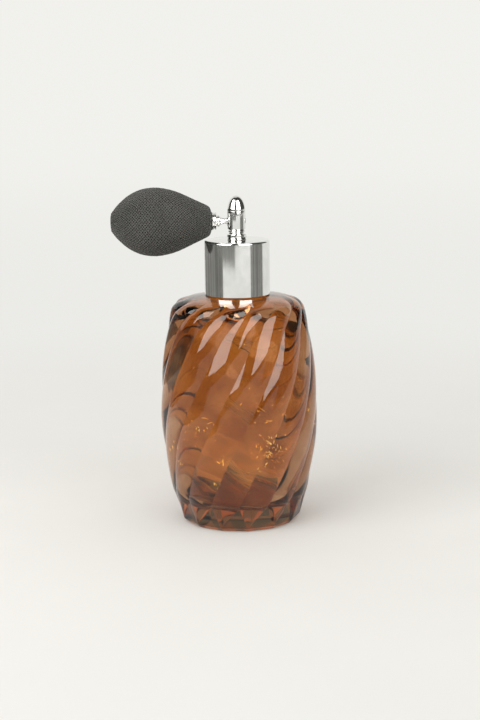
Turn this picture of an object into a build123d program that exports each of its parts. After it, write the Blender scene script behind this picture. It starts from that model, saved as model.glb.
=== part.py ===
"""Perfume atomiser: a swirl-ribbed glass bottle, a chrome screw collar, a swivelling spray head and a
squeeze bulb in a knitted net. Millimetres, +Z up. The origin is the centre of the bottle's foot. The bulb
hangs out along -X and the spray leaves along +X."""

import os
from math import cos, hypot, radians, sin

from build123d import *

os.makedirs("parts", exist_ok=True)

# ---------------------------------------------------------------- driving dimensions
tight_gap = 0.05  # radial clearance of a running fit
loose_gap = 0.3  # clearance between pieces that only pass each other

# Bottle
rib_count = 14
rib_step = 360 / rib_count
rib_depth = 1.0  # how far the groove between two ribs lies inside the ribs' crests
rib_twist = 0.776  # degrees of turn for each millimetre of height, right-handed
shoulder_turn = 9.0  # further degrees that the ribs turn as they climb the shoulder
shoulder_start = 95.0
shoulder_rise = 14.0
groove_azimuth_at_foot = -126.7  # degrees from +X, at z = 0
ledge_height = 10.4  # the ribs' lower ends, which overhang the facets
heel_height = 12.3  # the tips of the upright facets, in the grooves
toe_height = 1.7  # the tips of the hanging facets
toe_r = 30.2
toe_lead = 7.8  # degrees from a groove to the toe at its right
foot_r = 28.6
body_crests = [  # (crest radius, height) up the barrel
    (32.7, ledge_height),
    (34.6, 16.0),
    (37.0, 30.0),
    (38.9, 43.5),
    (39.4, 57.0),
    (38.9, 72.0),
    (37.3, 86.0),
    (35.1, 99.0),
    (33.0, 108.0),
    (31.6, 112.5),
]
shoulder_outline = [  # (radius, height) of the smooth shoulder that the ribs die out into
    (36.4, 98.0),
    (34.1, 104.4),
    (32.1, 108.0),
    (28.6, 110.7),
    (21.5, 112.9),
    (14.0, 114.0),
]
barrel_clearance_r = 45.0  # safely outside the barrel
barrel_clearance_z = 70.0
floor_z = 11.0
neck_r = 12.0
neck_bore_r = 8.5
neck_top = 136.0
neck_lip_rounding = 0.5
throat_z = 114.5  # where the inside has narrowed to the neck's bore
cavity_side = [  # (radius, height) of the smooth inside, from the floor's edge to the shoulder
    (22.0, floor_z),
    (28.2, 14.8),
    (31.0, 22.0),
    (33.5, 34.0),
    (35.2, 54.0),
    (34.7, 74.0),
    (31.6, 94.0),
    (28.2, 104.4),
]
cavity_shoulder = [
    cavity_side[-1],
    (24.2, 107.8),
    (14.0, 110.2),
    (neck_bore_r, throat_z),
]
neck_foot = shoulder_outline[-1][1]

# Screw thread between neck and cap
thread_pitch = 3.0
thread_depth = 1.15
thread_root_width = 1.3
thread_crest_width = 0.6
thread_gap = 0.4  # radial gap between each crest and the root it faces
neck_thread_z = 127.5
neck_thread_turns = 2.0
cap_thread_z = neck_thread_z + thread_pitch / 2
cap_thread_turns = 1.5
cap_bore_r = neck_r + thread_depth + thread_gap

# Collar
collar_r = 16.3
collar_bottom = 114.5
collar_top = 141.6
shell_wall = 0.6
collar_hole_r = 4.6
collar_rounding = 1.0
disc_bottom = collar_top - shell_wall - 0.1  # underside of the shell's top
cap_bottom = collar_bottom + 0.6

# Insert in the neck
gasket_thickness = 1.0
flange_thickness = 1.6
washer_thickness = 0.4
flange_r = 11.6
plug_bottom = 129.0
plug_chamfer = 0.8
stem_r = collar_hole_r - loose_gap
stem_bore_r = 2.4
stem_floor = 134.0
vent_r = 0.5
vent_offset = 6.0
dip_tube_r = 1.5
dip_bore_r = 0.9
flange_bottom = neck_top + gasket_thickness
flange_top = flange_bottom + flange_thickness
washer_top = flange_top + washer_thickness
cap_floor = washer_top + 0.1

# Spray head
base_ring_r = 4.75
base_ring_z = collar_top + 0.1
base_ring_top = 144.4
spigot_r = 3.85
head_bottom = 146.9
spigot_top = head_bottom - 0.1
pin_r = 2.2
pin_top = 150.0
head_r = 4.475
head_top = 155.9
dome_height = 7.5
arm_z = 150.9
chamber_top = 153.4
seal_z = 148.1
seal_wire_r = 0.26
seal_groove_r = pin_r - 0.5
clip_z = 149.2
clip_height = 0.5
clip_groove_r = pin_r - 0.45
head_bore_r = pin_r + tight_gap
cap_spigot_r = 2.8
cap_spigot_z = head_top - 2
nozzle_r = 1.5
nozzle_x = 2.85
nozzle_face = head_r + 0.08
nozzle_cup_r = 0.8  # the hollow behind the orifice
orifice_r = 0.2

# Air arm and outlet valve, along -X from the head
arm_axis = Axis((0, 0, arm_z), (1, 0, 0))
arm_spigot_r = 1.3
arm_spigot_x = -2.85
arm_bore_r = 0.7
arm_outline = [  # (x, radius): the flare against the head, the waist and the cone towards the bulb
    (-3.4, 2.5),
    (-4.3, 1.75),
    (-5.4, 1.35),
    (-7.2, 1.8),
    (-8.8, 2.6),
    (-9.2, 3.0),
]
ferrule_start = -9.8
ferrule_end = -11.9
ferrule_r = 4.35
nose_x = -8.3
valve_nose_r = 1.8
valve_bore_r = 1.4
stop_thickness = 0.6
outlet_r = 2.95
outlet_end_x = -18.5
outlet_seat_x = -16.2
ball_r = 1.0
ball_travel = 0.8

# Bulb
mouth_x = -12.0
mouth_lip_r = 3.9
bulb_outline = [  # (distance out from the head's axis, radius) over the net
    (12.6, 5.0),
    (13.1, 6.6),
    (14.6, 8.0),
    (20.5, 10.8),
    (28.5, 14.5),
    (34.5, 16.3),
    (40.5, 17.0),
    (47.0, 16.1),
    (53.0, 13.3),
    (58.0, 9.1),
    (60.7, 5.9),
    (61.9, 4.2),
]
net_thickness = 0.6
rubber_wall = 1.6
inlet_r = 2.6
inlet_flange_x = -62.0
inlet_flange_r = 3.0
inlet_seat_x = -59.8
inlet_end_x = -54.5


def finish(builder, label):
    """Name a finished piece and write it."""
    builder.part.label = label
    export_step(builder.part, f"parts/{label}.step")


def polar(radius, azimuth, z):
    """The point at a radius and an azimuth in degrees from +X."""
    return Vector(radius * cos(radians(azimuth)), radius * sin(radians(azimuth)), z)


def groove_azimuth(z):
    """Azimuth of the first groove between two ribs at a height."""
    climb = max(0, z - shoulder_start) / shoulder_rise
    return groove_azimuth_at_foot + rib_twist * z + shoulder_turn * climb ** 2


def thread_profile(root_r, z, outward):
    """Corners of a thread's section in the XZ plane, its foot sunk into the wall it stands on."""
    sunk = root_r - outward * 0.3
    crest = root_r + outward * thread_depth
    half_root, half_crest = thread_root_width / 2, thread_crest_width / 2
    return [(sunk, z - half_root), (root_r, z - half_root), (crest, z - half_crest),
            (crest, z + half_crest), (root_r, z + half_root), (sunk, z + half_root)]


def thread(root_r, z, turns, outward):
    """A helical ridge that starts on the XZ plane at height z."""
    with BuildPart() as ridge:
        with BuildLine() as path:
            Helix(thread_pitch, thread_pitch * turns, root_r, center=(0, 0, z))
        with BuildSketch(Plane.XZ):
            with BuildLine():
                Polyline(thread_profile(root_r, z, outward), close=True)
            make_face()
        sweep(path=path.wires()[0], is_frenet=True)
    return ridge.part


def half_ring(inner_r, outer_r, low, high):
    """Corners in the XZ plane of a rectangle that revolves into a ring or, from radius 0, a disc."""
    return [(inner_r, low), (outer_r, low), (outer_r, high), (inner_r, high)]


# ---------------------------------------------------------------- bottle
def facet(*corners):
    """A flat face through its corners."""
    return Face(Wire.make_polygon(list(corners), close=True))


(low_r, low_z), (high_r, high_z) = body_crests[:2]
crest_r_at_heel = low_r + (high_r - low_r) * (heel_height - low_z) / (high_z - low_z)
tip_r = crest_r_at_heel - rib_depth - 0.15  # just inside the groove
tips, toes, foot = [], [], []
for k in range(rib_count):
    tip_azimuth = groove_azimuth(heel_height) + rib_step * k
    tips.append(polar(tip_r, tip_azimuth, heel_height))
    toes.append(polar(toe_r, tip_azimuth + toe_lead, toe_height))
    foot.append(polar(foot_r, tip_azimuth + toe_lead, 0))
heel_faces = [facet(*tips), facet(*reversed(foot))]
for k in range(rib_count):
    after = (k + 1) % rib_count
    heel_faces.append(facet(tips[k], toes[k], tips[after]))
    heel_faces.append(facet(toes[k], toes[after], tips[after]))
    heel_faces.append(facet(foot[k], foot[after], toes[after], toes[k]))
heel = Solid(Shell(heel_faces))

with BuildPart() as ribbed_barrel:
    for crest_r, z in body_crests:
        with BuildSketch(Plane.XY.offset(z)):
            with BuildLine():
                for k in range(rib_count):
                    start = groove_azimuth(z) + rib_step * k
                    ThreePointArc(
                        polar(crest_r - rib_depth, start, 0),
                        polar(crest_r, start + rib_step / 2, 0),
                        polar(crest_r - rib_depth, start + rib_step, 0),
                    )
            make_face()
    loft()

with BuildPart() as shoulder_form:
    with BuildSketch(Plane.XZ):
        with BuildLine():
            Polyline(
                (0, neck_foot),
                (0, ledge_height),
                (barrel_clearance_r, ledge_height),
                (barrel_clearance_r, barrel_clearance_z),
                shoulder_outline[0],
            )
            Spline(*shoulder_outline)
            Line(shoulder_outline[-1], (0, neck_foot))
        make_face()
    revolve(axis=Axis.Z)

with BuildPart() as glass_bottle:
    add(ribbed_barrel.part)
    add(shoulder_form.part, mode=Mode.INTERSECT)
    add(heel)
    with BuildSketch(Plane.XZ):
        with BuildLine():
            Polyline(half_ring(0, neck_r, neck_foot - 2, neck_top), close=True)
        make_face()
    revolve(axis=Axis.Z)
    fillet(glass_bottle.edges().filter_by(GeomType.CIRCLE).group_by(Axis.Z)[-1], neck_lip_rounding)
    with BuildSketch(Plane.XZ):
        with BuildLine():
            Line((0, floor_z), cavity_side[0])
            Spline(*cavity_side, tangents=((1, 0), (-0.45, 1)))
            Spline(*cavity_shoulder, tangents=((-0.45, 1), (0, 1)))
            Polyline((neck_bore_r, throat_z), (neck_bore_r, neck_top + 1), (0, neck_top + 1),
                     (0, floor_z))
        make_face()
    revolve(axis=Axis.Z, mode=Mode.SUBTRACT)
    add(thread(neck_r, neck_thread_z, neck_thread_turns, 1))
finish(glass_bottle, "glass_bottle")


# ---------------------------------------------------------------- insert that plugs the neck
def turned(corners):
    """A piece turned about Z, from its corners in the XZ plane."""
    with BuildPart() as piece:
        with BuildSketch(Plane.XZ):
            with BuildLine():
                Polyline(corners, close=True)
            make_face()
        revolve(axis=Axis.Z)
    return piece


plug_r = neck_bore_r - loose_gap
with BuildPart() as neck_insert:
    add(turned([
        (dip_tube_r, plug_bottom),
        (plug_r - plug_chamfer, plug_bottom),
        (plug_r, plug_bottom + plug_chamfer),
        (plug_r, flange_bottom),
        (flange_r, flange_bottom),
        (flange_r, flange_top),
        (stem_r, flange_top),
        (stem_r, base_ring_z),
        (stem_bore_r, base_ring_z),
        (stem_bore_r, stem_floor),
        (dip_tube_r, stem_floor),
    ]).part)
    # the vent lets air in as the liquid goes down
    with Locations((0, vent_offset, plug_bottom)):
        Cylinder(vent_r, 2 * (flange_top - plug_bottom) + 1, mode=Mode.SUBTRACT)
finish(neck_insert, "neck_insert")

neck_gasket = turned(half_ring(neck_bore_r + 0.1, flange_r - 0.2, neck_top, flange_bottom))
finish(neck_gasket, "neck_gasket")

with BuildPart() as dip_tube:
    with BuildSketch(Plane.XY.offset(floor_z + 1)):
        Circle(dip_tube_r)
        Circle(dip_bore_r, mode=Mode.SUBTRACT)
    extrude(amount=stem_floor - 0.5 - floor_z - 1)
    # the slanted lower end can't seal against the floor
    split(bisect_by=Plane(origin=(0, 0, floor_z + 3), z_dir=(0.7, 0, 1)), keep=Keep.TOP)
finish(dip_tube, "dip_tube")

thrust_washer = turned(half_ring(stem_r + 0.2, flange_r - 0.6, flange_top, washer_top))
finish(thrust_washer, "thrust_washer")

seal_half = seal_wire_r + 0.1
swivel_base = turned([
    (dip_bore_r, stem_floor),
    (stem_bore_r, stem_floor),
    (stem_bore_r, base_ring_z),
    (base_ring_r - 0.2, base_ring_z),
    (base_ring_r, base_ring_z + 0.2),
    (base_ring_r, base_ring_top - 0.5),
    (base_ring_r - 0.5, base_ring_top),
    (spigot_r, base_ring_top),
    (spigot_r, spigot_top),
    (pin_r, spigot_top),
    (pin_r, seal_z - seal_half),
    (seal_groove_r, seal_z - seal_half),
    (seal_groove_r, seal_z + seal_half),
    (pin_r, seal_z + seal_half),
    (pin_r, clip_z),
    (clip_groove_r, clip_z),
    (clip_groove_r, clip_z + clip_height),
    (pin_r, clip_z + clip_height),
    (pin_r, pin_top - 0.15),
    (pin_r - 0.15, pin_top),
    (dip_bore_r, pin_top),
])
finish(swivel_base, "swivel_base")

with BuildPart() as swivel_seal:
    with BuildSketch(Plane.XZ):
        with Locations((seal_groove_r + seal_wire_r, seal_z)):
            Circle(seal_wire_r)
    revolve(axis=Axis.Z)
finish(swivel_seal, "swivel_seal")

# ---------------------------------------------------------------- collar
with BuildPart() as collar_shell:
    with BuildSketch(Plane.XY.offset(collar_bottom)):
        Circle(collar_r)
    extrude(amount=collar_top - collar_bottom)
    fillet(collar_shell.edges().group_by(Axis.Z)[-1], collar_rounding)
    with BuildSketch(Plane.XY.offset(collar_bottom)):
        Circle(collar_r - shell_wall)
    extrude(amount=disc_bottom - collar_bottom, mode=Mode.SUBTRACT)
    with Locations((0, 0, collar_top)):
        Cylinder(collar_hole_r, 4, mode=Mode.SUBTRACT)
finish(collar_shell, "collar_shell")

with BuildPart() as screw_cap:
    add(turned([
        (cap_bore_r, cap_bottom),
        (collar_r - shell_wall, cap_bottom),
        (collar_r - shell_wall, disc_bottom - 0.6),
        (collar_r - shell_wall - 0.6, disc_bottom),
        (collar_hole_r, disc_bottom),
        (collar_hole_r, cap_floor),
        (cap_bore_r, cap_floor),
    ]).part)
    add(thread(cap_bore_r, cap_thread_z, cap_thread_turns, -1))
finish(screw_cap, "screw_cap")

# ---------------------------------------------------------------- spray head
with BuildPart() as head_body:
    add(turned([
        (head_bore_r, head_bottom),
        (head_r - 0.25, head_bottom),
        (head_r, head_bottom + 0.25),
        (head_r, head_top - 0.12),
        (head_r - 0.12, head_top),
        (cap_spigot_r, head_top),
        (cap_spigot_r, cap_spigot_z),
        (0, cap_spigot_z),
        (0, chamber_top),
        (head_bore_r, chamber_top),
        (head_bore_r, clip_z + clip_height),
        (head_bore_r + 0.6, clip_z + clip_height),
        (head_bore_r + 0.6, clip_z),
        (head_bore_r, clip_z),
    ]).part)
    for start, length, radius in (
        (-head_r - 1, head_r + 1, arm_spigot_r),
        (0, nozzle_x, nozzle_cup_r - 0.2),
        (nozzle_x, head_r, nozzle_r),
    ):
        with BuildSketch(Plane.YZ.offset(start)):
            with Locations((0, arm_z)):
                Circle(radius)
        extrude(amount=length, mode=Mode.SUBTRACT)
finish(head_body, "head_body")

dome_line = [(head_r * cos(radians(turn)), head_top + dome_height * sin(radians(turn)))
             for turn in (0, 25, 50, 70, 90)]
with BuildPart() as head_cap:
    with BuildSketch(Plane.XZ):
        with BuildLine():
            Polyline((0, head_top + dome_height), (0, cap_spigot_z), (cap_spigot_r, cap_spigot_z),
                     (cap_spigot_r, head_top), (head_r, head_top))
            Spline(*dome_line, tangents=((0, 1), (-1, 0)))
        make_face()
    revolve(axis=Axis.Z)
finish(head_cap, "head_cap")

with BuildPart() as retaining_ring:
    with BuildSketch(Plane.XY.offset(clip_z + 0.05)):
        Circle(head_bore_r + 0.5)
        Circle(clip_groove_r + 0.1, mode=Mode.SUBTRACT)
        with Locations((0, head_r)):
            Rectangle(1.2, 2 * head_r, mode=Mode.SUBTRACT)
    extrude(amount=clip_height - 0.1)
finish(retaining_ring, "retaining_ring")


def along_arm(corners):
    """A piece turned about the arm's axis, from corners given as (x, distance from that axis)."""
    with BuildPart() as piece:
        with BuildSketch(Plane.XZ):
            with BuildLine():
                Polyline([(x, arm_z + radius) for x, radius in corners], close=True)
            make_face()
        revolve(axis=arm_axis)
    return piece


nozzle_insert = along_arm([
    (nozzle_x, nozzle_cup_r),
    (nozzle_x, nozzle_r),
    (nozzle_face - 0.15, nozzle_r),
    (nozzle_face, nozzle_r - 0.15),
    (nozzle_face, orifice_r + 0.25),
    (nozzle_face - 0.3, orifice_r),
    (nozzle_face - 0.7, orifice_r),
    (nozzle_face - 1.0, nozzle_cup_r),
])
finish(nozzle_insert, "nozzle_insert")

# ---------------------------------------------------------------- air arm, ferrule and outlet valve
with BuildPart() as air_arm:
    arm_line = [(x, arm_z + radius) for x, radius in arm_outline]
    with BuildSketch(Plane.XZ):
        with BuildLine():
            Line((arm_line[0][0], arm_z), arm_line[0])
            Spline(*arm_line)
            Polyline(
                arm_line[-1],
                (ferrule_start, arm_line[-1][1]),
                (ferrule_start, arm_z),
                (arm_line[0][0], arm_z),
            )
        make_face()
    revolve(axis=arm_axis)
    # the flare hugs the round head
    with Locations((0, 0, arm_z)):
        Cylinder(head_r, 3 * head_r, mode=Mode.SUBTRACT)
    add(along_arm([
        (arm_spigot_x, 0),
        (arm_spigot_x, arm_spigot_r),
        (-head_r - 1, arm_spigot_r),
        (-head_r - 1, 0),
    ]).part)
    add(along_arm([
        (0, 0),
        (0, arm_bore_r),
        (nose_x, arm_bore_r),
        (nose_x, valve_nose_r),
        (ferrule_end, valve_nose_r),
        (ferrule_end, 0),
    ]).part, mode=Mode.SUBTRACT)
finish(air_arm, "air_arm")

bulb_ferrule = along_arm([
    (ferrule_start, valve_nose_r),
    (ferrule_start, ferrule_r - 0.3),
    (ferrule_start - 0.3, ferrule_r),
    (ferrule_end + 0.3, ferrule_r),
    (ferrule_end, ferrule_r - 0.3),
    (ferrule_end, valve_nose_r),
])
finish(bulb_ferrule, "bulb_ferrule")

outlet_valve_body = along_arm([
    (nose_x, valve_bore_r),
    (nose_x, valve_nose_r),
    (ferrule_end, valve_nose_r),
    (ferrule_end, outlet_r),
    (outlet_end_x, outlet_r),
    (outlet_end_x, 1.6),
    (outlet_seat_x - 1, 0.6),
    (outlet_seat_x, 0.6),
    (outlet_seat_x, valve_bore_r),
])
finish(outlet_valve_body, "outlet_valve_body")


def valve_stop(x):
    """A perforated disc that keeps a ball in its chamber, from x towards the head."""
    with BuildPart() as stop:
        with BuildSketch(Plane.YZ.offset(x)):
            with Locations((0, arm_z)):
                Circle(valve_bore_r)
                with PolarLocations(0.8, 3):
                    Circle(0.35, mode=Mode.SUBTRACT)
        extrude(amount=stop_thickness)
    return stop


def valve_ball(seat_x):
    """A ball that rests just off the seat at seat_x."""
    with BuildPart() as ball:
        with Locations((seat_x + ball_r + tight_gap, 0, arm_z)):
            Sphere(ball_r)
    return ball


ball_room = 2 * ball_r + ball_travel + 4 * tight_gap
finish(valve_stop(outlet_seat_x + ball_room), "outlet_valve_stop")
finish(valve_ball(outlet_seat_x), "outlet_ball")


# ---------------------------------------------------------------- bulb
def bulb_line(depth):
    """The bulb's outline in the XZ plane, moved in by a depth along its own normals."""
    moved = []
    last = len(bulb_outline) - 1
    for n, (out, radius) in enumerate(bulb_outline):
        before = bulb_outline[max(n - 1, 0)]
        after = bulb_outline[min(n + 1, last)]
        run, rise = after[0] - before[0], after[1] - before[1]
        length = hypot(run, rise)
        moved.append((-out - depth * rise / length, arm_z + radius - depth * run / length))
    return moved


net_outside, net_inside = bulb_line(0), bulb_line(net_thickness)
with BuildPart() as net_cover:
    with BuildSketch(Plane.XZ):
        with BuildLine():
            Spline(*net_outside)
            Line(net_outside[-1], net_inside[-1])
            Spline(*net_inside)
            Line(net_inside[0], net_outside[0])
        make_face()
    revolve(axis=arm_axis)
finish(net_cover, "net_cover")

rubber_outside = bulb_line(net_thickness + tight_gap)
rubber_inside = bulb_line(net_thickness + tight_gap + rubber_wall)
with BuildPart() as rubber_bulb:
    with BuildSketch(Plane.XZ):
        with BuildLine():
            Spline(*rubber_outside)
            Polyline(
                rubber_outside[-1],
                (rubber_outside[-1][0], arm_z + inlet_r),
                (rubber_inside[-1][0], arm_z + inlet_r),
                rubber_inside[-1],
            )
            Spline(*rubber_inside)
            Polyline(
                rubber_inside[0],
                (rubber_inside[0][0] + 0.4, arm_z + outlet_r + tight_gap),
                (mouth_x, arm_z + outlet_r + tight_gap),
                (mouth_x, arm_z + mouth_lip_r),
                (rubber_outside[0][0], arm_z + mouth_lip_r),
                rubber_outside[0],
            )
        make_face()
    revolve(axis=arm_axis)
finish(rubber_bulb, "rubber_bulb")


def thread_ring(x, inner_r, strand_r):
    """A thread tied round the arm's axis."""
    with BuildPart() as ring:
        with BuildSketch(Plane.XZ):
            with Locations((x, arm_z + inner_r + strand_r)):
                Circle(strand_r)
        revolve(axis=arm_axis)
    return ring


finish(thread_ring(mouth_x - 0.32, mouth_lip_r + tight_gap, 0.3), "cover_binding")

# ---------------------------------------------------------------- inlet valve at the bulb's far end
inlet_valve_body = along_arm([
    (inlet_flange_x, 0.6),
    (inlet_flange_x, inlet_flange_r - 0.2),
    (inlet_flange_x + 0.2, inlet_flange_r),
    (rubber_outside[-1][0] - tight_gap, inlet_flange_r),
    (rubber_outside[-1][0] - tight_gap, inlet_r - tight_gap),
    (inlet_end_x, inlet_r - tight_gap),
    (inlet_end_x, valve_bore_r),
    (inlet_seat_x, valve_bore_r),
    (inlet_seat_x, 0.6),
])
finish(inlet_valve_body, "inlet_valve_body")
finish(valve_stop(inlet_seat_x + ball_room), "inlet_valve_stop")
finish(valve_ball(inlet_seat_x), "inlet_ball")
finish(thread_ring(inlet_flange_x + 0.3, inlet_flange_r, 0.27), "net_tie")
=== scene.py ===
"""Looks of a perfume atomiser: swirl-ribbed amber glass, chrome collar and spray head, netted squeeze bulb.

Metres, +Z up, the bulb along -X. The camera looks along +Y.
"""
import math
import random

import bmesh
import bpy
from mathutils import Matrix, Vector


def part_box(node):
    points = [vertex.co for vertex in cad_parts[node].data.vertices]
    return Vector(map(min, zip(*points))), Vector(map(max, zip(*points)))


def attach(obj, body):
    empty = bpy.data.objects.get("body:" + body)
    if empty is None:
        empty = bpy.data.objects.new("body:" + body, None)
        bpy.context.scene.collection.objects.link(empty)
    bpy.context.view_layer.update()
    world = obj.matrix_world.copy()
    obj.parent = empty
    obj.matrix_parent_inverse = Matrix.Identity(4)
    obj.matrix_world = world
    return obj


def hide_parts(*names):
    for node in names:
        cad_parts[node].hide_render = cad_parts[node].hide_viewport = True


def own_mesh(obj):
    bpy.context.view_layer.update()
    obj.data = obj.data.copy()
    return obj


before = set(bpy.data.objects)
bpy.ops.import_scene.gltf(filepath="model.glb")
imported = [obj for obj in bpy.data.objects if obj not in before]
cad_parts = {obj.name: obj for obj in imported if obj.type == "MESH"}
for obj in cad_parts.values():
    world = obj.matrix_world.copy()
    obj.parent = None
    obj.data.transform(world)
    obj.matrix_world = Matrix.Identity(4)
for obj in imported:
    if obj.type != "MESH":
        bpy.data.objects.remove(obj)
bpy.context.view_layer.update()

MM = 0.001
TURN = 2 * math.pi

# ---------------------------------------------------------------- places, from the frame
collar_low, collar_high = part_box("collar_shell")
COLLAR_R = collar_high.x
COLLAR_BOTTOM = collar_low.z
COLLAR_TOP = collar_high.z
ferrule_low, ferrule_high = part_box("bulb_ferrule")
ARM_Z = (ferrule_low.z + ferrule_high.z) / 2
head_low, head_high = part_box("head_body")
HEAD_R = head_high.x
DOME_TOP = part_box("head_cap")[1].z
NECK_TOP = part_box("glass_bottle")[1].z

# ---------------------------------------------------------------- the bottle's dimensions, as designed
RIB_COUNT = 14
RIB_STEP = 360 / RIB_COUNT
RIB_DEPTH = 1.25 * MM
RIB_FULL_R, RIB_GONE_R = 31.5 * MM, 23.0 * MM  # the ribs die out between these radii of the shoulder
RIB_TWIST = 0.776  # degrees for each millimetre
SHOULDER_TURN, SHOULDER_START, SHOULDER_RISE = 9.0, 95.0, 14.0  # degrees, millimetres, millimetres
GROOVE_AZIMUTH = -126.7  # degrees, at the foot
TOE_LEAD = 7.8  # degrees from a groove's lower end to the toe at its right
TOE_R, TOE_HEIGHT = 30.2 * MM, 1.7 * MM
FOOT_R, FOOT_EDGE = 28.6 * MM, 0.25 * MM
HOLLOW_R, HOLLOW_RISE = 23.0 * MM, 1.0 * MM  # under the foot
HOLLOW_LINE = [  # (share of the hollow's radius, share of its rise), from the middle of the foot to the rim
    (0.0, 1), (0.5, 1), (0.93, 1), (1, 0.8), (1.04, 0.15), (1.07, 0),
]
NECK_R = 12.0 * MM
NECK_BORE_R = 8.5 * MM
NECK_LOW, LIP_LOW = 115.2 * MM, 0.6 * MM  # the neck's start, and how far under the top its lip starts
OUTER_LIP, INNER_LIP = 0.5 * MM, 0.4 * MM  # roundings of the lip
THREAD_PITCH, THREAD_DEPTH = 3.0 * MM, 1.15 * MM
THREAD_LOW, THREAD_HIGH = 127.5 * MM, 133.5 * MM
THREAD_HALF_ROOT, THREAD_FLANK = 0.65 * MM, 0.35 * MM  # along the neck
SWAY, SWAY_FADE = 0.3 * MM, 12 * MM  # how far the blown inside wanders, and over what height that fades
BODY_LINE = [  # (crest radius, height) in millimetres, from the facets over the shoulder to the neck
    (33.35, 12.3), (34.6, 16.5), (36.6, 27.5), (38.5, 40.0), (39.35, 52.0), (39.35, 61.0), (38.65, 75.0),
    (37.2, 87.2), (35.1, 99.0), (33.8, 105.2), (32.6, 108.8), (30.2, 111.3), (26.2, 112.7), (21.0, 113.5),
    (16.3, 114.1), (13.0, 114.4), (NECK_R / MM, NECK_LOW / MM),
]
THROAT_Z, FLOOR_Z = 114.5 * MM, 11.0 * MM
CAVITY_LINE = [  # (radius, height) in millimetres, from the throat down to the floor
    (NECK_BORE_R / MM, THROAT_Z / MM), (9.6, 112.2), (14.0, 110.2), (19.5, 109.3), (24.2, 107.8),
    (28.2, 104.4), (31.6, 94.0), (34.7, 74.0), (35.2, 54.0), (33.5, 34.0), (31.0, 22.0), (28.2, 14.8),
    (25.6, 12.0), (22.0, FLOOR_Z / MM),
]


# ---------------------------------------------------------------- mesh helpers
def smooth_line(points, steps):
    """A Catmull-Rom line through points, with steps spans between each pair."""
    points = [Vector(p) for p in points]
    padded = [2 * points[0] - points[1]] + points + [2 * points[-1] - points[-2]]
    line = []
    for before, a, b, after in zip(padded, padded[1:], padded[2:], padded[3:]):
        for step in range(steps):
            t = step / steps
            line.append(0.5 * (
                2 * a + (b - before) * t + (2 * before - 5 * a + 4 * b - after) * t * t
                + (3 * a - before - 3 * b + after) * t ** 3
            ))
    return line + [points[-1]]


def eased(corners, radius, steps=4):
    """A closed outline with every corner rounded, by up to radius."""
    line = []
    count = len(corners)
    for n in range(count):
        before, corner, after = (Vector(corners[(n + k) % count]) for k in (-1, 0, 1))
        reach = min(radius, (before - corner).length * 0.45, (after - corner).length * 0.45)
        start = corner + (before - corner).normalized() * reach
        end = corner + (after - corner).normalized() * reach
        for step in range(steps + 1):
            t = step / steps
            line.append(start * (1 - t) ** 2 + corner * 2 * t * (1 - t) + end * t * t)
    return line


def mesh_object(name, rows, material, closed=False, sharp=None):
    """A mesh from rows of points, each row a ring. closed joins the last row to the first."""
    columns = len(rows[0])
    vertices = [tuple(point) for row in rows for point in row]
    faces = []
    for i in range(len(rows) if closed else len(rows) - 1):
        below, above = i * columns, (i + 1) % len(rows) * columns
        for j in range(columns):
            after = (j + 1) % columns
            faces.append((below + j, below + after, above + after, above + j))
    data = bpy.data.meshes.new(name)
    data.from_pydata(vertices, [], faces)
    work = bmesh.new()
    work.from_mesh(data)
    bmesh.ops.remove_doubles(work, verts=work.verts, dist=1e-7)
    bmesh.ops.recalc_face_normals(work, faces=work.faces)
    work.to_mesh(data)
    work.free()
    data.shade_smooth()
    if sharp is not None:
        data.set_sharp_from_angle(angle=math.radians(sharp))
    data.materials.append(material)
    made = bpy.data.objects.new(name, data)
    bpy.context.collection.objects.link(made)
    return made


def turned(name, outline, material, along_arm=False, segments=144, sharp=40):
    """A piece turned from a closed outline of (radius, height) in metres, about Z or about the arm's axis."""
    rows = []
    for radius, height in outline:
        row = []
        for k in range(segments):
            angle = TURN * k / segments
            across, up = radius * math.cos(angle), radius * math.sin(angle)
            row.append((height, across, ARM_Z + up) if along_arm else (across, up, height))
        rows.append(row)
    return mesh_object(name, rows, material, closed=True, sharp=sharp)


# ---------------------------------------------------------------- material helpers
def add_node(material, kind, settings=None, **inputs):
    """A node in the material, with its properties and its unlinked inputs set."""
    node = material.node_tree.nodes.new(kind)
    for key, value in (settings or {}).items():
        setattr(node, key, value)
    for key, value in inputs.items():
        node.inputs[key.replace("_", " ")].default_value = value
    return node


def link(material, start, end):
    """Links an output to an input."""
    material.node_tree.links.new(start, end)


def surface(name, **inputs):
    """A material with one Principled shader whose sockets are set."""
    made = bpy.data.materials.new(name)
    made.use_nodes = True
    shader = made.node_tree.nodes["Principled BSDF"]
    for key, value in inputs.items():
        shader.inputs[key.replace("_", " ")].default_value = value
    return made, shader


def noise(material, scale, detail=3.0, stretch=(1, 1, 1)):
    """A noise over the object's own coordinates, scale in cycles for each metre."""
    place = add_node(material, "ShaderNodeTexCoord")
    mapping = add_node(material, "ShaderNodeMapping", Scale=stretch)
    texture = add_node(material, "ShaderNodeTexNoise", Scale=scale, Detail=detail)
    link(material, place.outputs["Object"], mapping.inputs["Vector"])
    link(material, mapping.outputs["Vector"], texture.inputs["Vector"])
    return texture


def spread(material, source, low, high, start=0.3, end=0.7):
    """Maps a value from start..end to low..high."""
    mapped = add_node(material, "ShaderNodeMapRange", From_Min=start, From_Max=end, To_Min=low, To_Max=high)
    link(material, source, mapped.inputs["Value"])
    return mapped.outputs["Result"]


def colours(material, source, stops):
    """A colour ramp over a value."""
    ramp = add_node(material, "ShaderNodeValToRGB")
    while len(ramp.color_ramp.elements) < len(stops):
        ramp.color_ramp.elements.new(0.5)
    for element, (position, colour) in zip(ramp.color_ramp.elements, stops):
        element.position = position
        element.color = (*colour, 1)
    link(material, source, ramp.inputs["Fac"])
    return ramp.outputs["Color"]


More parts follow.
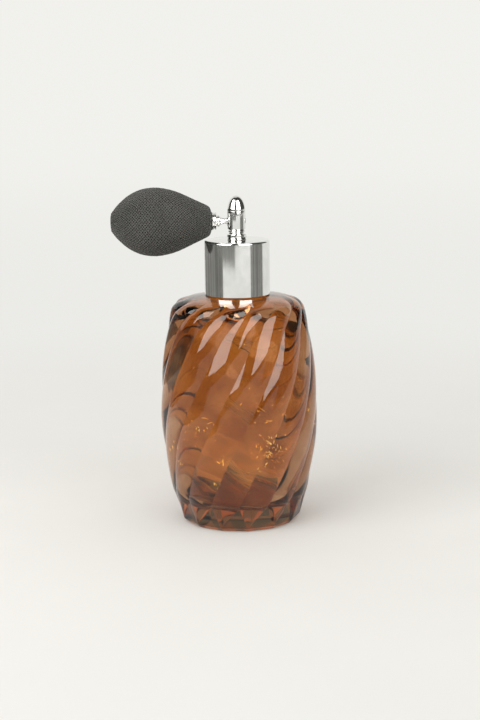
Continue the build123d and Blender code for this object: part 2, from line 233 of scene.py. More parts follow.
def bump(material, shader, height, strength, distance):
    """Bump from a height, over what is already there."""
    node = add_node(material, "ShaderNodeBump", Strength=strength, Distance=distance)
    link(material, height, node.inputs["Height"])
    if shader.inputs["Normal"].is_linked:
        link(material, shader.inputs["Normal"].links[0].from_socket, node.inputs["Normal"])
    link(material, node.outputs["Normal"], shader.inputs["Normal"])


# ---------------------------------------------------------------- materials
CLEAR, LIT_HEEL_RIB, SHADED_FACET, OUTER_WALL, INNER_SKIN = 0.0, 0.25, 0.5, 0.75, 1.0  # values of the stain_and_shading attribute: glass stains, with painted light and shade on the heel
# the heel's rib ends have a lighter amber than the wall, as painted light, and its facets a dark blue-grey,
# as painted shade
STAINS_AND_SHADING = [
    (CLEAR, (1, 0.99, 0.98)), (LIT_HEEL_RIB, (1.0, 0.76, 0.52)), (SHADED_FACET, (0.26, 0.46, 0.54)),
    (OUTER_WALL, (0.53, 0.325, 0.19)), (INNER_SKIN, (1.0, 0.625, 0.21)),
]


def amber_glass():
    """Thick hand-finished glass. Its skin is stained in zones, with painted light on the heel's rib ends and
    painted shade on its facets, and the glass itself is faintly amber.
    """
    made, shader = surface("amber_glass", Transmission_Weight=1.0, IOR=1.5)
    skin = add_node(made, "ShaderNodeAttribute", {"attribute_name": "stain_and_shading"})
    stain_and_shading = colours(made, skin.outputs["Fac"], STAINS_AND_SHADING)
    cloud = noise(made, 48, 3.0)
    cloudy = [(0.36, (0.70, 0.58, 0.46)), (0.50, (0.95, 0.90, 0.84)), (0.66, (1, 1, 1))]
    drift = colours(made, cloud.outputs["Fac"], cloudy)
    tint = add_node(made, "ShaderNodeMix", {"data_type": "RGBA", "blend_type": "MULTIPLY"})
    tint.inputs[0].default_value = 1.0
    link(made, stain_and_shading, tint.inputs[6])
    link(made, drift, tint.inputs[7])
    link(made, tint.outputs[2], shader.inputs["Base Color"])
    grease = noise(made, 90, 4.0)
    link(made, spread(made, grease.outputs["Fac"], 0.0, 0.025, 0.45, 0.75), shader.inputs["Roughness"])
    ripple = noise(made, 110, 1.5, (1, 1, 0.5))
    bump(made, shader, ripple.outputs["Fac"], 0.35, 0.2 * MM)
    depth = add_node(made, "ShaderNodeVolumeAbsorption", Color=(0.72, 0.42, 0.18, 1), Density=60.0)
    link(made, depth.outputs["Volume"], made.node_tree.nodes["Material Output"].inputs["Volume"])
    return made


def polished_chrome(name, low, high):
    """Plated brass with the haze of fingers and hairline wiping marks."""
    made, shader = surface(name, Metallic=1.0)
    tone = noise(made, 160, 2.0)
    link(made, colours(made, tone.outputs["Fac"], [(0.3, (0.76, 0.765, 0.75)), (0.7, (0.83, 0.83, 0.82))]),
         shader.inputs["Base Color"])
    haze = noise(made, 220, 5.0, (1, 1, 0.6))
    link(made, spread(made, haze.outputs["Fac"], low, high, 0.45, 0.8), shader.inputs["Roughness"])
    hairline = noise(made, 900, 2.0, (1, 1, 0.04))
    bump(made, shader, hairline.outputs["Fac"], 0.06, 0.02 * MM)
    dent = noise(made, 130, 1.0)
    bump(made, shader, dent.outputs["Fac"], 0.05, 0.05 * MM)
    return made


def net_yarn():
    """Charcoal textured nylon, worn lighter in places."""
    made, shader = surface("net_yarn", Roughness=0.75, Sheen_Weight=0.12, Sheen_Roughness=0.5)
    wear = noise(made, 60, 3.0)
    fibre = noise(made, 5200, 4.0)
    mix = add_node(made, "ShaderNodeMath", {"operation": "MULTIPLY_ADD"})
    mix.inputs[1].default_value = 0.15
    link(made, fibre.outputs["Fac"], mix.inputs[0])
    link(made, wear.outputs["Fac"], mix.inputs[2])
    worn = colours(made, mix.outputs["Value"], [(0.40, (0.034, 0.034, 0.030)), (0.75, (0.058, 0.057, 0.051))])
    link(made, worn, shader.inputs["Base Color"])
    bump(made, shader, fibre.outputs["Fac"], 0.4, 0.04 * MM)
    return made


def moulded(name, dark, light, roughness, grain=900):
    """A moulded plastic or rubber with a fine grain and slow colour drift."""
    made, shader = surface(name)
    drift = noise(made, 120, 3.0)
    link(made, colours(made, drift.outputs["Fac"], [(0.3, dark), (0.7, light)]), shader.inputs["Base Color"])
    rough = spread(made, drift.outputs["Fac"], roughness - 0.08, roughness + 0.08)
    link(made, rough, shader.inputs["Roughness"])
    fine = noise(made, grain, 3.0)
    bump(made, shader, fine.outputs["Fac"], 0.25, 0.03 * MM)
    return made


def worked_metal(name, dark, light, roughness):
    """A plain turned metal with tool marks."""
    made, shader = surface(name, Metallic=1.0)
    drift = noise(made, 300, 3.0)
    link(made, colours(made, drift.outputs["Fac"], [(0.3, dark), (0.7, light)]), shader.inputs["Base Color"])
    rough = spread(made, drift.outputs["Fac"], roughness - 0.06, roughness + 0.1)
    link(made, rough, shader.inputs["Roughness"])
    marks = noise(made, 2500, 2.0, (0.1, 1, 1))
    bump(made, shader, marks.outputs["Fac"], 0.2, 0.02 * MM)
    return made


def gold_leaf():
    """Crumpled gold leaf. Its glow makes up for the light that the stained glass takes away."""
    made, shader = surface("gold_leaf", Metallic=0.6)
    shader.inputs["Emission Color"].default_value = (0.98, 1.0, 0.36, 1)
    shader.inputs["Emission Strength"].default_value = 0.9
    crumple = noise(made, 1400, 4.0)
    link(made, colours(made, crumple.outputs["Fac"], [(0.3, (0.90, 0.58, 0.14)), (0.7, (1.0, 0.84, 0.36))]),
         shader.inputs["Base Color"])
    link(made, spread(made, crumple.outputs["Fac"], 0.22, 0.45), shader.inputs["Roughness"])
    bump(made, shader, crumple.outputs["Fac"], 0.8, 0.15 * MM)
    return made


GLASS = amber_glass()
CHROME = polished_chrome("chrome", 0.09, 0.15)
COLLAR_CHROME = polished_chrome("collar_chrome", 0.10, 0.16)
YARN = net_yarn()
RUBBER = moulded("bulb_rubber", (0.012, 0.012, 0.012), (0.03, 0.03, 0.028), 0.6)
BLACK_PLASTIC = moulded("black_plastic", (0.015, 0.015, 0.015), (0.03, 0.03, 0.03), 0.45)
WHITE_PLASTIC = moulded("white_plastic", (0.74, 0.74, 0.70), (0.85, 0.85, 0.82), 0.4)
TUBE_PLASTIC = moulded("tube_plastic", (0.95, 0.96, 0.95), (1, 1, 1), 0.12)
GASKET = moulded("gasket_rubber", (0.02, 0.02, 0.02), (0.045, 0.045, 0.045), 0.7)
STEEL = worked_metal("spring_steel", (0.45, 0.45, 0.44), (0.62, 0.62, 0.60), 0.28)
BRASS = worked_metal("brass", (0.55, 0.40, 0.16), (0.75, 0.58, 0.27), 0.3)
GOLD = gold_leaf()

tube_shader = TUBE_PLASTIC.node_tree.nodes["Principled BSDF"]
tube_shader.inputs["Transmission Weight"].default_value = 0.97
tube_shader.inputs["IOR"].default_value = 1.2

carried = {
    "neck_insert": WHITE_PLASTIC, "neck_gasket": GASKET, "dip_tube": TUBE_PLASTIC,
    "thrust_washer": WHITE_PLASTIC, "swivel_seal": GASKET, "screw_cap": BLACK_PLASTIC,
    "retaining_ring": STEEL, "nozzle_insert": CHROME, "outlet_valve_body": BRASS,
    "outlet_valve_stop": BRASS, "inlet_valve_body": BLACK_PLASTIC, "inlet_valve_stop": BLACK_PLASTIC,
    "inlet_ball": STEEL, "outlet_ball": STEEL,
}
for node, material in carried.items():
    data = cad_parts[node].data
    data.materials.clear()
    data.materials.append(material)


# ---------------------------------------------------------------- camera
AIM = Vector((0.75 * MM, 0, 80.8 * MM))
CAMERA_PLACE = Vector((0, -0.741, 0.2266))
CAMERA_ROLL = math.radians(-0.85)
camera_data = bpy.data.cameras.new("camera")
camera_data.lens = 75.1
camera_data.sensor_width = 36
camera = bpy.data.objects.new("camera", camera_data)
bpy.context.collection.objects.link(camera)
gaze = (AIM - CAMERA_PLACE).to_track_quat("-Z", "Y").to_matrix().to_4x4()
camera.matrix_world = Matrix.Translation(CAMERA_PLACE) @ gaze @ Matrix.Rotation(CAMERA_ROLL, 4, "Z")
bpy.context.scene.camera = camera


# ---------------------------------------------------------------- bottle
def groove(share):
    """How deep the groove is at a share across a rib, 1 on the crease between two ribs."""
    return (2 * share - 1) ** 2


def groove_turn(z):
    """Azimuth in radians of the first groove at a height."""
    climb = max(0.0, z / MM - SHOULDER_START) / SHOULDER_RISE
    return math.radians(GROOVE_AZIMUTH + RIB_TWIST * z / MM + SHOULDER_TURN * climb ** 2)


def bottle_rows(on_rib=24, on_facet=8):
    """Rings of the bottle's skin, from the middle of its foot, up the outside and down the inside.

    Each rib has on_rib columns. The on_facet columns after them spread over the facet below the next groove.
    """
    step = math.radians(RIB_STEP)
    shares = [min(c / on_rib, 1.0) for c in range(on_rib + on_facet)]

    def at(radius, azimuth, z):
        return Vector((radius * math.cos(azimuth), radius * math.sin(azimuth), z))

    # ribbed wall, shoulder and the start of the neck
    wall = []
    line = smooth_line([(r * MM, z * MM) for r, z in BODY_LINE], 10)
    for n, point in enumerate(line):
        before, after = line[max(n - 1, 0)], line[min(n + 1, len(line) - 1)]
        tangent = (after - before).normalized()
        normal = Vector((tangent.y, -tangent.x))
        left = min(1.0, max(0.0, (point.x - RIB_GONE_R) / (RIB_FULL_R - RIB_GONE_R)))
        depth = RIB_DEPTH * left ** 1.5
        spin = groove_turn(point.y)
        row = []
        for k in range(RIB_COUNT):
            for share in shares:
                spot = point - normal * depth * groove(share)
                row.append(at(spot.x, spin + step * (k + share), spot.y))
        wall.append(row)

    # faceted heel: each rib's end hangs down to a toe, and a flat facet stands between two toes
    first_toe = groove_turn(line[0].y) + math.radians(TOE_LEAD)

    def toe_row(radius, z):
        corners = [at(radius, first_toe + step * k, z) for k in range(RIB_COUNT + 1)]
        row = []
        for k in range(RIB_COUNT):
            for c in range(on_rib + on_facet):
                row.append(corners[k].lerp(corners[k + 1], max(0.0, (c - on_rib) / on_facet)))
        return row

    rows = [toe_row(HOLLOW_R * share, HOLLOW_RISE * rise) for share, rise in HOLLOW_LINE]
    rows += [toe_row(FOOT_R - FOOT_EDGE, 0), toe_row(FOOT_R, 0.4 * FOOT_EDGE)]
    toes = toe_row(TOE_R, TOE_HEIGHT)
    heel_rows = 12
    for n in range(heel_rows):
        rows.append([toe.lerp(tip, n / heel_rows) for toe, tip in zip(toes, wall[0])])
    rows += wall
    angles = [spin + step * (k + share) for k in range(RIB_COUNT) for share in shares]

    # threaded neck
    neck_rows = 65
    for n in range(1, neck_rows + 1):
        z = NECK_LOW + (NECK_TOP - LIP_LOW - NECK_LOW) * n / neck_rows
        row = []
        for angle in angles:
            ridge = THREAD_LOW + THREAD_PITCH * (angle / TURN % 1)
            ridges = [ridge + THREAD_PITCH * k for k in range(3)]
            off = min(abs(z - middle) for middle in ridges if middle <= THREAD_HIGH + THREAD_PITCH)
            height = min(1.0, max(0.0, (THREAD_HALF_ROOT - off) / THREAD_FLANK))
            row.append(at(NECK_R + THREAD_DEPTH * height, angle, z))
        rows.append(row)
    lip = []
    for n in range(5):
        bend = math.pi / 2 * n / 4
        radius = NECK_R - OUTER_LIP * (1 - math.cos(bend))
        lip.append((radius, NECK_TOP - OUTER_LIP * (1 - math.sin(bend))))
    for n in range(5):
        bend = math.pi / 2 * n / 4
        radius = NECK_BORE_R + INNER_LIP * (1 - math.sin(bend))
        lip.append((radius, NECK_TOP - INNER_LIP * (1 - math.cos(bend))))
    rows += [[at(radius, a, z) for a in angles] for radius, z in lip]

    # smooth inside
    inside = smooth_line([(r * MM, z * MM) for r, z in CAVITY_LINE], 6)
    bore_rows = 6
    for n in range(1, bore_rows):
        z = NECK_TOP - INNER_LIP + (THROAT_Z - NECK_TOP + INNER_LIP) * n / bore_rows
        rows.append([at(NECK_BORE_R, a, z) for a in angles])
    for point in inside:
        # the blown inside wanders a little, but not at the throat and hardly on the floor
        z = point.y
        sway = SWAY * min(1.0, max(0.0, (THROAT_Z - z) / SWAY_FADE)) * min(1.0, z / SWAY_FADE - 0.9)
        row = []
        for a in angles:
            wander = math.sin(2 * a + z / (9 * MM)) + 0.7 * math.sin(5 * a - z / (5 * MM))
            row.append(at(point.x + sway * wander, a, z))
        rows.append(row)
    for share in (0.66, 0.33, 0.0):
        rows.append([at(inside[-1].x * share, a, inside[-1].y) for a in angles])
    return rows


def cavity_radius(z):
    """The inside's radius at a height."""
    for (r0, z0), (r1, z1) in zip(CAVITY_LINE, CAVITY_LINE[1:]):
        if z1 * MM <= z <= z0 * MM:
            return MM * (r0 + (r1 - r0) * (z / MM - z0) / (z1 - z0))
    return CAVITY_LINE[-1][0] * MM


bottle = mesh_object("bottle_glass", bottle_rows(), GLASS, sharp=13)
SKIN_REACH = 1.5 * MM  # a face this near outside the cavity's line is still inner skin
SKIN_DROP = 0.5 * MM  # the inner skin starts and ends this far under the floor and the throat
CLEAR_ABOVE = 116.0 * MM


def stain_and_shading_at(spot):
    """Which stain the glass has at a spot on its skin; on the heel, painted light on the rib ends and painted
    shade on the facets.
    """
    in_cavity = FLOOR_Z - SKIN_DROP < spot.z < THROAT_Z - SKIN_DROP
    if in_cavity and spot.xy.length < cavity_radius(spot.z) + SKIN_REACH:
        return INNER_SKIN
    heel_top = BODY_LINE[0][1] * MM
    if heel_top < spot.z < CLEAR_ABOVE:
        return OUTER_WALL
    if not TOE_HEIGHT < spot.z < heel_top:
        return CLEAR
    drop = (heel_top - spot.z) / (heel_top - TOE_HEIGHT)
    past_tip = (math.degrees(math.atan2(spot.y, spot.x) - groove_turn(heel_top))) % RIB_STEP
    # painted shade on the facets, painted light on the rib ends between them
    on_facet = past_tip < TOE_LEAD * drop or past_tip > RIB_STEP - (RIB_STEP - TOE_LEAD) * drop
    return SHADED_FACET if on_facet else LIT_HEEL_RIB


stain_and_shading = bottle.data.attributes.new("stain_and_shading", "FLOAT", "FACE")
for face, value in zip(bottle.data.polygons, stain_and_shading.data):
    value.value = stain_and_shading_at(face.center)
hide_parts("glass_bottle")
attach(bottle, "bottle")


# ---------------------------------------------------------------- gold flecks
LEAF = 0.05 * MM  # thickness of the gold leaf


def fleck(work, azimuth, z, length, width, lean, rng):
    """One torn scrap of leaf in the glass, at the inner wall."""
    centre_r = cavity_radius(z)
    corners = []
    sides = rng.randint(6, 9)
    for n in range(sides):
        angle = TURN * n / sides
        reach = rng.uniform(0.55, 1.0)
        along, across = length / 2 * reach * math.cos(angle), width / 2 * reach * math.sin(angle)
        up = along * math.cos(lean) - across * math.sin(lean)
        side = along * math.sin(lean) + across * math.cos(lean)
        turn = azimuth + side / centre_r
        radius = cavity_radius(z + up) + rng.uniform(0.22, 0.30) * MM
        corners.append(Vector((radius * math.cos(turn), radius * math.sin(turn), z + up)))
    outer = [work.verts.new(c) for c in corners]
    inner = [work.verts.new(c - Vector((c.x, c.y, 0)).normalized() * LEAF) for c in corners]
    work.faces.new(outer)
    work.faces.new(list(reversed(inner)))
    for n in range(sides):
        after = (n + 1) % sides
        work.faces.new((outer[after], outer[n], inner[n], inner[after]))


def gold_flecks():
    """Clusters and a scatter of leaf."""
    rng = random.Random(11)
    work = bmesh.new()
    # (azimuth in degrees, height and spread in millimetres, how many)
    clusters = [
        (-67, 43, 7, 64), (-64, 37, 4, 12), (-122, 53, 3.5, 9), (-105, 36, 3, 7), (-111, 25, 3, 6),
        (-77, 33, 4, 8), (-50, 103, 2, 4), (-150, 40, 6, 8), (60, 50, 14, 16), (140, 40, 12, 12),
        (10, 60, 14, 10),
    ]
    wall_r, scattered = 35, 60  # millimetres, flecks
    lowest, highest = 19 * MM, 100 * MM
    for azimuth, height, reach, count in clusters:
        for _ in range(count):
            turn = math.radians(azimuth) + rng.gauss(0, 0.5) * reach / wall_r
            z = min(max((height + rng.gauss(0, 0.5) * reach) * MM, lowest), highest)
            length = rng.uniform(0.5, 2.6) * MM
            fleck(work, turn, z, length, length * rng.uniform(0.12, 0.3), rng.uniform(-1.2, 1.2), rng)
    for _ in range(scattered):
        length = rng.uniform(0.25, 0.8) * MM
        turn, z = rng.uniform(0, TURN), rng.uniform(20, 98) * MM
        fleck(work, turn, z, length, length * 0.6, rng.uniform(-1.5, 1.5), rng)
    data = bpy.data.meshes.new("gold_flecks")
    work.to_mesh(data)
    work.free()
    data.materials.append(GOLD)
    made = bpy.data.objects.new("gold_flecks", data)
    bpy.context.collection.objects.link(made)
    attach(made, "bottle")
    return made


gold_flecks()


# ---------------------------------------------------------------- chrome pieces
def place(piece, body, node, slot="chrome"):
    """The piece stands for a CAD node and moves with its body."""
    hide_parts(node)
    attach(piece, body)


shell_wall = 0.6 * MM
hole_r = 4.6 * MM
under_top = COLLAR_TOP - 0.7 * MM
rounding, low_chamfer, hole_chamfer = 1.0 * MM, 0.25 * MM, 0.1 * MM
edge = []
for n in range(9):
    bend = math.pi / 2 * n / 8
    edge.append((COLLAR_R - rounding * (1 - math.cos(bend)), COLLAR_TOP - rounding * (1 - math.sin(bend))))
collar_outline = [
    (COLLAR_R - shell_wall, COLLAR_BOTTOM), (COLLAR_R - low_chamfer, COLLAR_BOTTOM),
    (COLLAR_R, COLLAR_BOTTOM + low_chamfer), *edge, (hole_r + hole_chamfer, COLLAR_TOP),
    (hole_r, COLLAR_TOP - hole_chamfer), (hole_r, under_top), (COLLAR_R - shell_wall, under_top),
]
collar = turned("collar_chrome", collar_outline, COLLAR_CHROME, segments=192)
place(collar, "collar", "collar_shell")

base_corners = [(0.9, 134.0), (2.4, 134.0), (2.4, 141.7), (4.75, 141.7), (4.75, 144.4), (3.85, 144.4),
                (3.85, 145.3), (4.15, 145.6), (4.15, 146.2), (3.85, 146.5), (3.85, 146.8), (2.2, 146.8),
                (2.2, 150.0), (0.9, 150.0)]
swivel = turned("swivel_base_chrome", eased([(r * MM, z * MM) for r, z in base_corners], 0.3 * MM), CHROME)
place(swivel, "insert", "swivel_base")

HEAD_BOTTOM, HEAD_TOP = head_low.z, head_high.z
head_outline = eased([
    (2.25 * MM, HEAD_BOTTOM), (HEAD_R, HEAD_BOTTOM), (HEAD_R, HEAD_TOP), (2.8 * MM, HEAD_TOP),
    (2.8 * MM, HEAD_TOP - 2 * MM), (2.25 * MM, HEAD_TOP - 2.2 * MM),
], 0.14 * MM)
head = turned("head_body_chrome", head_outline, CHROME)
place(head, "head", "head_body")

DOME_LOW = HEAD_TOP + 0.08 * MM  # over the fine seam under the cap
SPIGOT_LOW = HEAD_TOP - 1.9 * MM
dome_outline = [
    (0, SPIGOT_LOW), (2.7 * MM, SPIGOT_LOW), (2.75 * MM, HEAD_TOP),
    (HEAD_R - 0.12 * MM, HEAD_TOP + 0.01 * MM),
]
for n in range(29):
    bend = math.pi / 2 * n / 28
    dome_outline.append((HEAD_R * math.cos(bend), DOME_LOW + (DOME_TOP - DOME_LOW) * math.sin(bend)))
dome = turned("head_cap_chrome", dome_outline, CHROME, sharp=30)
place(dome, "head", "head_cap")


def air_arm():
    """The flared arm: it hugs the head, narrows to a waist and opens towards the bulb."""
    flare = smooth_line([
        (-4.35, 3.1), (-4.62, 2.2), (-5.0, 1.55), (-5.6, 1.35), (-6.6, 1.5), (-7.6, 1.9), (-8.4, 2.7),
        (-8.7, 2.95), (-9.1, 3.0), (-9.4, 2.6), (-9.8, 2.5),
    ], 5)
    outline = [(x, r) for x, r in flare] + [(-9.8, 0.7), (-2.6, 0.7), (-2.6, 1.28), (-4.2, 1.28)]
    hug_from, hug_to, hug = -4.7, -4.15, 0.96  # the flare's rim and its back follow the round head
    head_r = HEAD_R / MM
    segments = 96
    rows = []
    for x, radius in outline:
        row = []
        for k in range(segments):
            angle = TURN * k / segments
            across, up = radius * math.cos(angle), radius * math.sin(angle)
            along = x
            if hug_from < x < hug_to:
                along += (head_r - math.sqrt(head_r ** 2 - across ** 2)) * hug
            row.append((along * MM, across * MM, ARM_Z + up * MM))
        rows.append(row)
    return mesh_object("air_arm_chrome", rows, CHROME, closed=True, sharp=50)


place(air_arm(), "head", "air_arm")

ferrule_corners = [(1.8, -9.8), (3.6, -9.8), (4.35, -10.0), (4.35, -10.6), (3.85, -10.75), (3.85, -10.95),
                   (4.3, -11.1), (4.3, -11.9), (1.8, -11.9)]
ferrule_outline = eased([(r * MM, x * MM) for r, x in ferrule_corners], 0.18 * MM)
ferrule = turned("ferrule_chrome", ferrule_outline, CHROME, along_arm=True)
place(ferrule, "head", "bulb_ferrule")

# ---------------------------------------------------------------- bulb and its net
BULB_LINE = [  # (distance out from the head's axis, radius) in millimetres, over the net
    (12.6, 5.0), (13.1, 6.6), (14.6, 8.0), (20.5, 10.8), (28.5, 14.5), (34.5, 16.3), (40.5, 17.0),
    (47.0, 16.1), (53.0, 13.3), (58.0, 9.1), (60.7, 5.9), (61.9, 4.2),
]
YARNS = 58  # in each direction
YARN_STEP = 1.4 * MM  # along the bulb for each crossing
bulb_skin = smooth_line([(x * MM, r * MM) for x, r in BULB_LINE], 12)


def skin_at(out):
    """Radius of the bulb's outline at a distance out."""
    for a, b in zip(bulb_skin, bulb_skin[1:]):
        if a.x <= out <= b.x and b.x > a.x:
            t = (out - a.x) / (b.x - a.x)
            return a.y + (b.y - a.y) * t
    return bulb_skin[0].y if out < bulb_skin[0].x else bulb_skin[-1].y


RUBBER_START, RUBBER_END = 12.0 * MM, 61.05 * MM  # the end is clear of the inlet valve's flange


def rubber_bulb():
    """The black rubber under the net, hollow, with its two mouths."""
    wall, cover = 1.6 * MM, 0.8 * MM
    mouth_r, lip_r, mouth_end = 3.0 * MM, 3.9 * MM, 14.6 * MM
    valve_r, valve_end = 2.65 * MM, 59.8 * MM
    outline = []
    for n, point in enumerate(bulb_skin):
        before, after = bulb_skin[max(n - 1, 0)], bulb_skin[min(n + 1, len(bulb_skin) - 1)]
        tangent = (after - before).normalized()
        spot = point + Vector((tangent.y, -tangent.x)) * cover
        outline.append(Vector((min(spot.x, RUBBER_END), spot.y)))
    inner = []
    for n, point in enumerate(bulb_skin[6:-4], 6):
        tangent = (bulb_skin[n + 1] - bulb_skin[n - 1]).normalized()
        inner.append(point + Vector((tangent.y, -tangent.x)) * (cover + wall))
    ring = [(RUBBER_START, mouth_r), (RUBBER_START, lip_r), *outline]
    ring += [(RUBBER_END, valve_r), (valve_end, valve_r), *reversed(inner), (mouth_end, mouth_r)]
    return turned("rubber_bulb_skin", [(r, -out) for out, r in ring], RUBBER, along_arm=True, segments=96)


def braid():
    """The net: two families of yarns that wind round the bulb and pass over and under each other."""
    start, end = BULB_LINE[0][0] * MM, BULB_LINE[-1][0] * MM
    crossings = int((end - start) / YARN_STEP * 2)
    vertices, faces = [], []
    sides, per_crossing = 6, 3
    widest, thick = 0.34 * MM, 0.22 * MM  # half a yarn's width and thickness
    rise, sunk = 0.2 * MM, 0.45 * MM  # of the weave about its middle, and of that middle under the outline
    probe = 0.2 * MM  # reach of the slope's measure
    for way in (1, -1):
        for yarn in range(YARNS):
            ring_before = None
            for n in range(crossings * per_crossing + 1):
                along = n / per_crossing
                out = start + along * YARN_STEP / 2
                if out > end:
                    break
                radius = skin_at(out)
                slope = (skin_at(out + probe) - skin_at(out - probe)) / (2 * probe)
                gap = TURN * radius / YARNS
                width = min(widest, 0.25 * gap)
                # over one, under one
                lift = rise * math.cos(math.pi * (along + (yarn if way > 0 else yarn + 1)))
                turn = way * TURN / YARNS * (along / 2) + TURN * yarn / YARNS
                centre_r = radius - sunk + lift
                normal = Vector((slope, math.cos(turn), math.sin(turn))).normalized()
                around = Vector((0, -math.sin(turn), math.cos(turn)))
                centre = Vector((-out, centre_r * math.cos(turn), ARM_Z + centre_r * math.sin(turn)))
                step_along = YARN_STEP / 2
                forward = (Vector((-1, slope * math.cos(turn), slope * math.sin(turn))) * step_along
                           + around * way * (TURN / YARNS / 2) * radius).normalized()
                side = forward.cross(normal).normalized()
                first = len(vertices)
                for s in range(sides):
                    angle = TURN * s / sides
                    offset = side * width * math.cos(angle) + normal * thick * math.sin(angle)
                    vertices.append(centre + offset)
                if ring_before is not None:
                    for s in range(sides):
                        after = (s + 1) % sides
                        faces.append((ring_before + s, ring_before + after, first + after, first + s))
                else:
                    faces.append(tuple(first + s for s in reversed(range(sides))))
                ring_before = first
            faces.append(tuple(ring_before + s for s in range(sides)))
    data = bpy.data.meshes.new("net_braid")
    data.from_pydata([tuple(v) for v in vertices], [], faces)
    work = bmesh.new()
    work.from_mesh(data)
    bmesh.ops.recalc_face_normals(work, faces=work.faces)
    work.to_mesh(data)
    work.free()
    data.shade_smooth()
    data.materials.append(YARN)
    made = bpy.data.objects.new("net_braid", data)
    bpy.context.collection.objects.link(made)
    return made


def tied_thread(name, x, radius, strand, turns, body, node):
    """A thread wound a few times round the arm's axis, with its fine ply."""
    rows = []
    per_turn, sides, twists, ply, pitch = 72, 8, 9, 0.12, 1.2  # the last two in shares of the strand
    count = per_turn * turns
    for n in range(count + 1):
        angle = TURN * n / per_turn
        row = []
        for s in range(sides):
            bend = TURN * s / sides + angle * twists
            reach = strand * (1 + ply * math.cos(2 * bend))
            r = radius + reach * math.cos(TURN * s / sides)
            along = x + (n / count - 0.5) * strand * pitch * turns + reach * math.sin(TURN * s / sides)
            row.append((along, r * math.cos(angle), ARM_Z + r * math.sin(angle)))
        rows.append(row)
    piece = mesh_object(name, rows, YARN)
    place(piece, body, node, "charcoal_net")


bulb_pieces = (
    (rubber_bulb(), "rubber_bulb", "bulb_rubber"),
    (braid(), "net_cover", "charcoal_net"),
)
for piece, node, slot in bulb_pieces:
    place(piece, "head", node, slot)
    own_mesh(piece)
tied_thread("mouth_binding", -12.3 * MM, 4.25 * MM, 0.22 * MM, 2, "head", "cover_binding")
tied_thread("net_knot", -61.7 * MM, 3.28 * MM, 0.16 * MM, 2, "bulb_end", "net_tie")


# ---------------------------------------------------------------- studio
def stage_mesh(name, rows, material, ring=True):
    """A surface of the studio."""
    columns = len(rows[0])
    vertices = [tuple(p) for row in rows for p in row]
    faces = []
    for i in range(len(rows) - 1):
        for j in range(columns if ring else columns - 1):
            after = (j + 1) % columns
            below, above = i * columns, (i + 1) * columns
            faces.append((below + j, below + after, above + after, above + j))
    data = bpy.data.meshes.new(name)
    data.from_pydata(vertices, [], faces)
    data.shade_smooth()
    data.materials.append(material)
    made = bpy.data.objects.new(name, data)
    bpy.context.collection.objects.link(made)
    return made


def sweep_material():
    """Matt paper near the object, with painted shade behind and in front of it. Further out the paper glows
    so that no horizon shows, with painted light making that glow a little brighter further out and towards
    the camera.
    """
    made, shader = surface("paper_sweep", Roughness=0.9)
    grain = noise(made, 14, 3.0)
    tint = colours(made, grain.outputs["Fac"], [(0.3, (0.795, 0.785, 0.765)), (0.7, (0.81, 0.80, 0.78))])
    place_node = add_node(made, "ShaderNodeTexCoord")
    axes = add_node(made, "ShaderNodeSeparateXYZ")
    link(made, place_node.outputs["Object"], axes.inputs["Vector"])
    # painted shade: the paper is a little darker behind the object, where its shadow falls, and in front of
    # it
    behind = add_node(made, "ShaderNodeMapRange", {"interpolation_type": "SMOOTHSTEP"},
                      From_Min=0.01, From_Max=0.12, To_Min=1.0, To_Max=0.975)
    link(made, axes.outputs["Y"], behind.inputs["Value"])
    ahead = add_node(made, "ShaderNodeMapRange", From_Min=-0.25, From_Max=-0.03, To_Min=0.935, To_Max=1.0)
    link(made, axes.outputs["Y"], ahead.inputs["Value"])
    painted_shade = add_node(made, "ShaderNodeMath", {"operation": "MULTIPLY"})
    link(made, behind.outputs["Result"], painted_shade.inputs[0])
    link(made, ahead.outputs["Result"], painted_shade.inputs[1])
    shade = add_node(made, "ShaderNodeMix", {"data_type": "RGBA", "blend_type": "MULTIPLY"})
    shade.inputs[0].default_value = 1.0
    link(made, tint, shade.inputs[6])
    link(made, painted_shade.outputs["Value"], shade.inputs[7])
    link(made, shade.outputs[2], shader.inputs["Base Color"])
    length = add_node(made, "ShaderNodeVectorMath", {"operation": "LENGTH"})
    link(made, place_node.outputs["Object"], length.inputs[0])
    far = add_node(made, "ShaderNodeMapRange", {"interpolation_type": "SMOOTHSTEP"},
                   From_Min=0.10, From_Max=0.60)
    link(made, length.outputs["Value"], far.inputs["Value"])
    # painted light: the glow is a little stronger further out and towards the camera
    rise = add_node(made, "ShaderNodeMapRange", {"interpolation_type": "SMOOTHSTEP"},
                    From_Min=0.4, From_Max=3.2, To_Min=0.835, To_Max=0.885)
    link(made, length.outputs["Value"], rise.inputs["Value"])
    near = add_node(made, "ShaderNodeMapRange", From_Min=-0.5, From_Max=0.0, To_Min=1.07, To_Max=1.0)
    link(made, axes.outputs["Y"], near.inputs["Value"])
    strength = add_node(made, "ShaderNodeMath", {"operation": "MULTIPLY"})
    link(made, rise.outputs["Result"], strength.inputs[0])
    link(made, near.outputs["Result"], strength.inputs[1])
    glow = add_node(made, "ShaderNodeEmission", Color=(1.0, 0.995, 0.955, 1))
    link(made, strength.outputs["Value"], glow.inputs["Strength"])
    mix = add_node(made, "ShaderNodeMixShader")
    link(made, far.outputs["Result"], mix.inputs["Fac"])
    link(made, shader.outputs["BSDF"], mix.inputs[1])
    link(made, glow.outputs["Emission"], mix.inputs[2])
    link(made, mix.outputs["Shader"], made.node_tree.nodes["Material Output"].inputs["Surface"])
    return made


FLOOR = -0.25 * MM  # a hair under the foot


